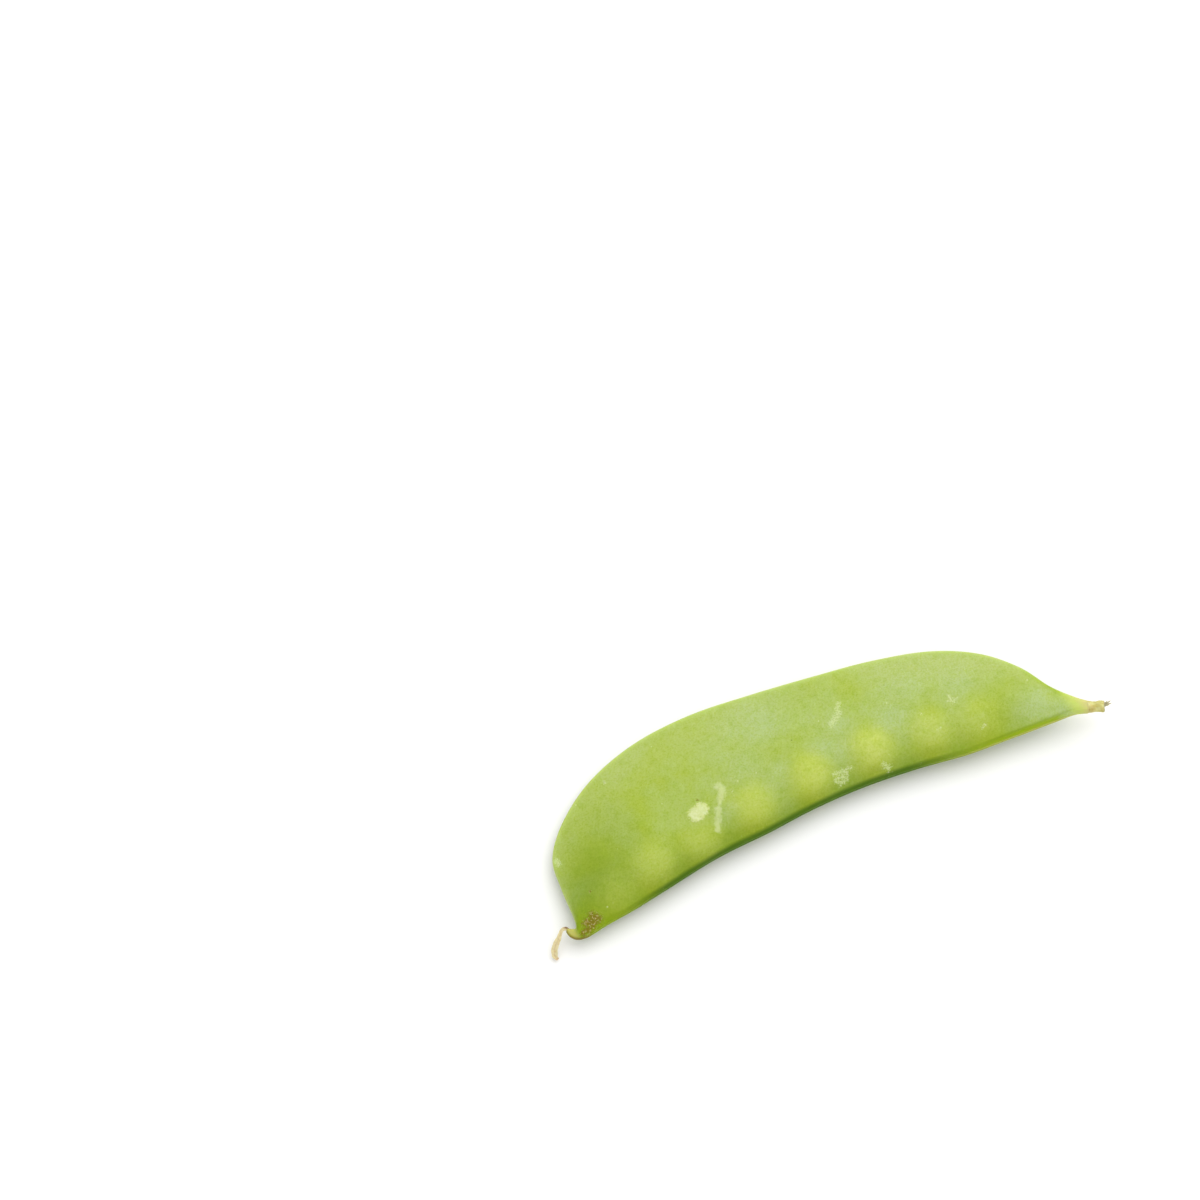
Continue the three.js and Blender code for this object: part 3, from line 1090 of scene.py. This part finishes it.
    def surface(self) -> tuple[np.ndarray, np.ndarray, np.ndarray]:
        """The smooth pod in its own plane.

        Returns:
            The rings of points, the share across of each point, and each ring's width.
        """
        seed_edge, back_edge, fullest = self.plan()
        width = np.linalg.norm(back_edge - seed_edge, axis=1, keepdims=True)
        upper = self.shares_across(width)
        q = np.concatenate([upper, upper[:, -2:0:-1]], axis=1)
        side = np.ones(q.shape[1])
        side[upper.shape[1] :] = -1.0
        x = seed_edge[:, 0:1] + q * (back_edge - seed_edge)[:, 0:1]
        y = seed_edge[:, 1:2] + q * (back_edge - seed_edge)[:, 1:2]
        swell = self.seed_field(x, y) * np.where(side > 0, 1.0, self.lower_valve_share)
        swell *= edge_rounding(q * width, self.nose_reach(width))
        z = self.spine_height(x) + side * (self.valve_height(q, width, fullest) + swell)
        return np.stack([x, y, z], axis=-1), q, width

    def distances_from_seams(self, points: np.ndarray) -> tuple[np.ndarray, np.ndarray]:
        """Distances over the skin from the seed-edge seam and from the back-edge seam."""
        round_ring = length_round_ring(points)
        whole = round_ring[:, -1:] + np.linalg.norm(points[:, :1] - points[:, -1:], axis=2)
        half = points.shape[1] // 2
        from_seed_edge = np.minimum(round_ring, whole - round_ring)
        from_back_edge = np.abs(round_ring - round_ring[:, half : half + 1])
        return from_seed_edge, from_back_edge

    def masks(
        self, points: np.ndarray, q: np.ndarray, seed_edge: np.ndarray, back_edge: np.ndarray
    ) -> dict[str, np.ndarray]:
        """Shares between 0 and 1 that the skin's colours follow.

        Args:
            points: The surface.
            q: Share of the way across of each point.
            seed_edge: Distance of each point from the seed-edge seam.
            back_edge: Distance of each point from the back-edge seam.

        Returns:
            One array for each mask.
        """
        x, y = points[..., 0], points[..., 1]
        zones = self.zones
        upper = np.where(points[..., 2] > self.spine_height(x), 1.0, 0.0)
        fullest = max(height for _, _, height in self.seeds)
        seeds = np.clip(self.seed_field(x, y) / fullest, 0.0, 1.0)
        to_ends = np.maximum(zones.stem_half.of(x), zones.beak_strength * zones.beak_half.of(x))
        soft = zones.flank_softness * zones.flank_softens.of(x)
        # painted shade along the seed edge, darkest at the seam
        flank_shade = soft * zones.flank_soft.of(seed_edge) + (1.0 - soft) * zones.flank_sharp.of(seed_edge)
        # the same painted shade near the ends of the pod, in yellower green
        seam_end_shade = flank_shade * to_ends * zones.seam_stops.of(x)
        neck_line = zones.neck_line.of(back_edge) * zones.neck_line_starts.of(x)
        neck_line = neck_line * zones.neck_line_stops.of(x)
        # deeper green towards the seed edge, partly the skin's own and partly painted shade, stronger
        # towards the beak
        belly_green_and_shade = zones.belly_least + zones.belly_growth * zones.belly_grows.of(x)
        # painted light: the back-edge half lighter and bluer, more so towards the stem
        painted_light = zones.painted_light_least + zones.painted_light_growth * zones.painted_light_grows.of(x)
        toward_painted_light = q - zones.painted_light_recess.of(x)
        hook = zones.hook_starts.of(x)
        straw = zones.straw_starts.of(x + zones.straw_slant * y)
        tan = np.maximum(hook, zones.tan_starts.of(x)) * zones.tan.of(seed_edge)
        bloom = zones.bloom_strength * strongest(self.marks.bloomed, x, y)
        return {
            "seed": seeds**zones.seed_tint_power,
            "seed_foot_shade": np.clip(self.foot_field(x, y), 0.0, 1.0),
            "flank_shade": flank_shade * (1.0 - to_ends),
            "seam_end_shade": np.maximum(seam_end_shade, zones.neck_line_strength * neck_line),
            # painted shade in the groove beside the seam
            "groove": zones.groove.of(seed_edge) * zones.groove_starts.of(x),
            "seam_line": zones.seam_line.of(seed_edge) * zones.seam_line_starts.of(x),
            "belly_green_and_shade": zones.belly_green_and_shade.of(seed_edge) * belly_green_and_shade * zones.belly_stops.of(x),
            # painted sheen along the back edge
            "rim": zones.rim.of(back_edge) * zones.rim_stops.of(x),
            "painted_light": painted_light * zones.painted_light.of(toward_painted_light) * zones.painted_light_stops.of(x),
            # painted shade at the beak end, strongest towards the seed edge
            "beak_shade": zones.beak_shade_starts.of(x) * zones.beak_shade.of(q),
            "neck": zones.neck_starts.of(x),
            "bloom": np.clip(bloom - zones.bloom_off_seeds * seeds, 0.0, 1.0),
            "straw": straw,
            "hook": hook,
            "tan": tan * (1.0 - straw),
            "scar": strongest(self.marks.scars, x, y) * upper,
            "streak": strongest(self.marks.streaks, x, y) * upper,
            "scuff": strongest(self.marks.scuffs, x, y) * upper,
            "rust": strongest(self.marks.blemishes, x, y) * upper,
        }

    def shell(self) -> Shell:
        """The finished surface in the pod's own plane, with the masks that its skin reads."""
        smooth, q, width = self.surface()
        seed_edge, back_edge = self.distances_from_seams(smooth)
        masks = self.masks(smooth, q, seed_edge, back_edge)
        relief = self.skin_relief.height(smooth, width, seed_edge, back_edge, masks["scar"])
        return Shell(smooth + outward_normals(smooth) * relief[..., None], masks)

    def build(self, rest: Rest, skin: bpy.types.Material) -> bpy.types.Object:
        """Fits the rest to the CAD pod, then makes the pod.

        Args:
            rest: Takes up the shift that lays the smooth surface on the CAD solid.
            skin: The pod's finish.

        Returns:
            The pod's object.
        """
        smooth, _, _ = self.surface()
        rest.fit(smooth, "pod")
        shell = self.shell()
        shell.points = rest.lay(shell.points)
        shell.points[..., 2] -= min(shell.points[..., 2].min(), 0.0)
        return write_mesh("pod_skin_and_seams", [shell], skin)


# ---- The stub of the stalk ----


@dataclass
class StemStub:
    """Swollen foot of the flower stalk, with the strands that tore when the pod was picked."""

    start: tuple[float, float, float] = (41.35, -0.77, 1.24)
    turn_deg: float = -26.0
    lift_deg: float = 5.0
    # distance along the stub, radius
    profile: tuple[tuple[float, float], ...] = (
        (0.0, 0.88),
        (0.45, 0.90),
        (0.9, 0.90),
        (1.35, 0.86),
        (1.8, 0.82),
        (2.25, 0.84),
        (2.6, 0.85),
        (2.82, 0.78),
        (2.90, 0.58),
        (2.84, 0.30),
    )
    # turn and lift from the stub's axis, length, radius
    strands: tuple[tuple[float, float, float, float], ...] = (
        (30.0, 4.0, 1.15, 0.24),
        (19.0, -3.0, 1.15, 0.24),
        (39.0, 12.0, 0.75, 0.17),
        (8.0, 2.0, 0.70, 0.18),
        (26.0, -18.0, 0.70, 0.14),
    )
    strand_root: float = 0.5
    strand_curl: float = 0.10
    strand_taper: float = 0.85
    taper_power: float = 1.5
    strand_flatness: float = 0.7
    strand_tornness: float = 0.9
    # height, number round the stub, and turn for each millimetre along it
    lobes: tuple[tuple[float, int, float], ...] = ((0.05, 2, 1.6), (0.025, 7, -0.8))
    roughening: tuple[Ripples, ...] = (
        Ripples(0.9, 2.0, seed=3, height=0.035),
        Ripples(0.3, 0.6, seed=4, height=0.015),
    )
    # along the stub for waist and torn end, over the cosine of the angle for the waist's side
    waist: Bell = Bell(1.0, 1.0, 0.55)
    waist_side: Fade = Fade(0.2, -0.7)
    torn_end: Fade = Fade(2.6, 2.9)
    end_tornness: float = 0.6
    rings: int = 90
    sides: int = 64
    strand_rings: int = 21
    strand_sides: int = 10

    def direction(self, turn: float, lift: float) -> np.ndarray:
        """Unit vector turned and lifted from the stub's own axis, in degrees."""
        yaw, pitch = math.radians(self.turn_deg + turn), math.radians(self.lift_deg + lift)
        flat = math.cos(pitch)
        return np.array([math.cos(yaw) * flat, math.sin(yaw) * flat, math.sin(pitch)])

    def around(self, axis: np.ndarray) -> tuple[np.ndarray, np.ndarray]:
        """Two unit vectors square to an axis, so that the three are right-handed."""
        across = np.cross([0.0, 0.0, 1.0], axis)
        across /= np.linalg.norm(across)
        return across, np.cross(axis, across)

    def collar(self) -> Shell:
        """A turned profile, roughened: its radius follows the profile, times a lobed unevenness."""
        t = np.linspace(0.0, 1.0, self.rings + 1)
        profile = curve_through(np.array(self.profile), t)
        along, radius = profile[:, 0:1], profile[:, 1:2]
        angle = np.linspace(0.0, 2 * math.pi, self.sides, endpoint=False)[None, :]
        wide = np.ones_like(radius * angle)
        for height, number, turn in self.lobes:
            wide = wide + height * np.cos(number * angle + turn * along)
        wide = radius * wide
        axis = self.direction(0.0, 0.0)
        across, over = self.around(axis)
        points = np.array(self.start) + along[..., None] * axis
        points = points + (wide * np.cos(angle))[..., None] * across
        points = points + (wide * np.sin(angle))[..., None] * over
        lumps = sum(ripples.at(*np.moveaxis(points, -1, 0)) for ripples in self.roughening)
        points = points + outward_normals(points) * lumps[..., None]
        whole = np.ones_like(wide)
        masks = {
            "waist": whole * self.waist.of(along) * self.waist_side.of(np.cos(angle)),
            "torn": whole * self.end_tornness * self.torn_end.of(along),
        }
        return Shell(points, masks)

    def strand(self, turn: float, lift: float, length: float, radius: float) -> Shell:
        """A tapering, slightly curved fibre that starts inside the collar."""
        t = np.linspace(0.0, 1.0, self.strand_rings)[:, None]
        angle = np.linspace(0.0, 2 * math.pi, self.strand_sides, endpoint=False)[None, :]
        tip = self.direction(turn, lift)
        across, over = self.around(tip)
        end = self.profile[-2][0]
        root = np.array(self.start) + self.direction(0.0, 0.0) * (end - self.strand_root)
        run = (length + self.strand_root) * t
        curl = self.strand_curl * length * t**2
        middle = root + run[..., None] * tip + curl[..., None] * over
        wide = radius * (1.0 - self.strand_taper * t**self.taper_power)
        points = middle + (wide * np.cos(angle))[..., None] * across
        points = points + (self.strand_flatness * wide * np.sin(angle))[..., None] * over
        whole = np.ones_like(points[..., 0])
        return Shell(points, {"waist": 0.0 * whole, "torn": self.strand_tornness * whole})

    def build(self, rest: Rest, tissue: bpy.types.Material) -> bpy.types.Object:
        """Makes the collar and its strands as one piece."""
        shells = [self.collar()] + [self.strand(*strand) for strand in self.strands]
        for shell in shells:
            shell.points = rest.lay(shell.points)
        return write_mesh("stalk_end_with_strands", shells, tissue)


# ---- The dry style ----


@dataclass
class DriedStyle:
    """Withered ribbon on the beak, cupped, a little twisted, and blunt at its free tip."""

    # middle line from inside the beak to the free tip
    line: tuple[tuple[float, float, float], ...] = (
        (-41.35, 0.7, -0.48),
        (-41.68, 1.3, -0.46),
        (-42.2, 1.38, -0.5),
        (-42.75, 0.95, -0.72),
        (-43.25, 0.45, -0.97),
        (-43.95, -0.1, -1.43),
        (-44.4, -0.65, -1.87),
        (-44.55, -1.25, -2.25),
        (-44.4, -1.8, -2.42),
    )
    # half width, half thickness along the line
    section: tuple[tuple[float, float], ...] = (
        (0.27, 0.24),
        (0.25, 0.20),
        (0.25, 0.15),
        (0.29, 0.12),
        (0.38, 0.12),
        (0.46, 0.12),
        (0.47, 0.12),
        (0.40, 0.12),
        (0.20, 0.10),
    )
    cup: float = 0.16
    cup_grows: Fade = Fade(0.15, 0.5)
    twist_deg: float = 35.0
    crinkles: Ripples = Ripples(0.4, 1.1, seed=9, height=0.018)
    # along the ribbon for root and tip, over the cosine of the angle for side and crease
    brown_root: Fade = Fade(0.24, 0.12)
    brown_side: Fade = Fade(0.5, -0.5)
    tip: Fade = Fade(0.90, 0.98)
    crease: Bell = Bell(1.0, 0.0, 0.25)
    rings: int = 120
    sides: int = 40

    def build(self, rest: Rest, ribbon: bpy.types.Material) -> bpy.types.Object:
        """Makes the ribbon.

        Each section is a flat ellipse whose middle sinks below its edges by the cup, turned about
        the middle line by a share of the twist that grows along it.
        """
        t = np.linspace(0.0, 1.0, self.rings + 1)
        middle = curve_through(np.array(self.line), t)
        size = curve_through(np.array(self.section), t)
        ahead = np.gradient(middle, axis=0)
        ahead /= np.linalg.norm(ahead, axis=1, keepdims=True)
        across = np.cross([0.0, 0.0, 1.0], ahead)
        across /= np.linalg.norm(across, axis=1, keepdims=True)
        over = np.cross(ahead, across)
        turn = np.radians(self.twist_deg) * (t - 0.5)[:, None]
        wide_way = across * np.cos(turn) + over * np.sin(turn)
        thin_way = over * np.cos(turn) - across * np.sin(turn)
        angle = np.linspace(0.0, 2 * math.pi, self.sides, endpoint=False)[None, :]
        wide = size[:, 0:1] * np.cos(angle)
        sunk = self.cup * self.cup_grows.of(t)[:, None] * (np.cos(angle) ** 2 - 0.5)
        thin = size[:, 1:2] * np.sin(angle) + sunk
        points = middle[:, None, :] + wide[..., None] * wide_way[:, None, :]
        points = points + thin[..., None] * thin_way[:, None, :]
        lumps = self.crinkles.at(*np.moveaxis(points, -1, 0))
        points = points + outward_normals(points) * lumps[..., None]
        whole = np.ones_like(wide)
        masks = {
            "brown": whole * self.brown_root.of(t)[:, None] * self.brown_side.of(np.cos(angle)),
            "tip": whole * self.tip.of(t)[:, None],
            "crease": whole * self.crease.of(np.cos(angle)),
        }
        shell = Shell(rest.lay(points), masks)
        return write_mesh("dry_style_ribbon", [shell], ribbon)


# ---- Studio ----


@dataclass(frozen=True)
class Studio:
    """A white table under one wide soft light, and the camera over it, with lengths in metres."""

    azimuth_deg: float = -25.1
    elevation_deg: float = 66.0
    distance: float = 0.452
    lens_mm: float = 90.0
    nearest: float = 0.01
    farthest: float = 50.0
    # where the camera aims on the table, from the point midway between neck and beak
    aim: tuple[float, float] = (-0.0150, 0.0467)
    table_size: float = 6.0
    table_white: Colour = (0.86, 0.86, 0.85)
    table_roughness: float = 0.9
    sky_white: Colour = (1.0, 1.0, 1.0)
    sky_strength: float = 0.96
    light_size: float = 1.10
    light_power: float = 5.9
    light_height: float = 0.8
    light_behind: float = 0.42
    light_right: float = 0.20

    def view_axes(self) -> tuple[Vector, Vector, Vector]:
        """The way from the aim to the camera, the level way into the picture, and the way right."""
        a, e = math.radians(self.azimuth_deg), math.radians(self.elevation_deg)
        back = Vector((math.sin(a) * math.cos(e), -math.cos(a) * math.cos(e), math.sin(e)))
        return back, Vector((-math.sin(a), math.cos(a), 0.0)), Vector((math.cos(a), math.sin(a), 0.0))

    def add_camera(self, middle: Vector) -> None:
        """Makes the camera, aimed from the pod's middle.

        Args:
            middle: The point midway between neck and beak, in metres.
        """
        data = bpy.data.cameras.new("camera")
        data.lens = self.lens_mm
        data.clip_start = self.nearest
        data.clip_end = self.farthest
        camera = bpy.data.objects.new("camera", data)
        back, _, _ = self.view_axes()
        aim = Vector((middle.x + self.aim[0], middle.y + self.aim[1], 0.0))
        camera.location = aim + back * self.distance
        camera.rotation_euler = back.to_track_quat("Z", "Y").to_euler()
        bpy.context.scene.collection.objects.link(camera)
        bpy.context.scene.camera = camera

    def add_table(self) -> None:
        """Makes the pale floor."""
        half = self.table_size / 2
        corners = [(-half, -half, 0.0), (half, -half, 0.0), (half, half, 0.0), (-half, half, 0.0)]
        mesh = bpy.data.meshes.new("table")
        mesh.from_pydata(corners, [], [(0, 1, 2, 3)])
        material = bpy.data.materials.new("table_white")
        material.use_nodes = True
        shader = material.node_tree.nodes["Principled BSDF"]
        shader.inputs["Base Color"].default_value = (*self.table_white, 1.0)
        shader.inputs["Roughness"].default_value = self.table_roughness
        shader.inputs["Specular IOR Level"].default_value = 0.0
        mesh.materials.append(material)
        table = bpy.data.objects.new("table", mesh)
        bpy.context.scene.collection.objects.link(table)

    def add_light(self, middle: Vector) -> None:
        """Makes the wide light above and a little behind the pod, and the white room round it."""
        _, ahead, right = self.view_axes()
        data = bpy.data.lights.new("soft_light", "AREA")
        data.shape = "SQUARE"
        data.size = self.light_size
        data.energy = self.light_power
        light = bpy.data.objects.new("soft_light", data)
        above = Vector((middle.x, middle.y, self.light_height))
        light.location = above + ahead * self.light_behind + right * self.light_right
        down = light.location - Vector((middle.x, middle.y, 0.0))
        light.rotation_euler = down.to_track_quat("Z", "Y").to_euler()
        bpy.context.scene.collection.objects.link(light)
        world = bpy.data.worlds.new("white_room")
        world.use_nodes = True
        background = world.node_tree.nodes["Background"]
        background.inputs["Color"].default_value = (*self.sky_white, 1.0)
        background.inputs["Strength"].default_value = self.sky_strength
        bpy.context.scene.world = world
        bpy.context.scene.view_settings.view_transform = "Standard"

    def build(self, middle: Vector) -> None:
        """Makes the camera first, then the table and the lights."""
        self.add_camera(middle)
        self.add_table()
        self.add_light(middle)


# ---- The whole plant ----


def declare(piece: bpy.types.Object, node: str) -> None:
    """Hangs a piece on the root body, hides the CAD node that it stands for, and logs them."""
    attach(piece, ROOT_BODY)
    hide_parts(node)
    log.info("%s stands for %s, %d faces", piece.name, node, len(piece.data.polygons))


def corners(box: tuple[Vector, Vector]) -> list[list[float]]:
    """A box's two corners as plain lists."""
    return [list(box[0]), list(box[1])]


def main() -> None:
    """Builds the camera, the studio and the three pieces."""
    logging.basicConfig(level=logging.INFO, format="%(name)s: %(message)s")
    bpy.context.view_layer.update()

    rest = Rest()
    pod = Pod()
    rest.fit(pod.surface()[0], "pod")
    Studio().build(Vector(rest.shift * MM))

    declare(pod.build(rest, PodSkin().build()), "pod")
    declare(StemStub().build(rest, StalkTissue().build()), "stem_stub")
    declare(DriedStyle().build(rest, DryRibbon().build()), "dried_style")


if __name__ == "__main__":
    main()
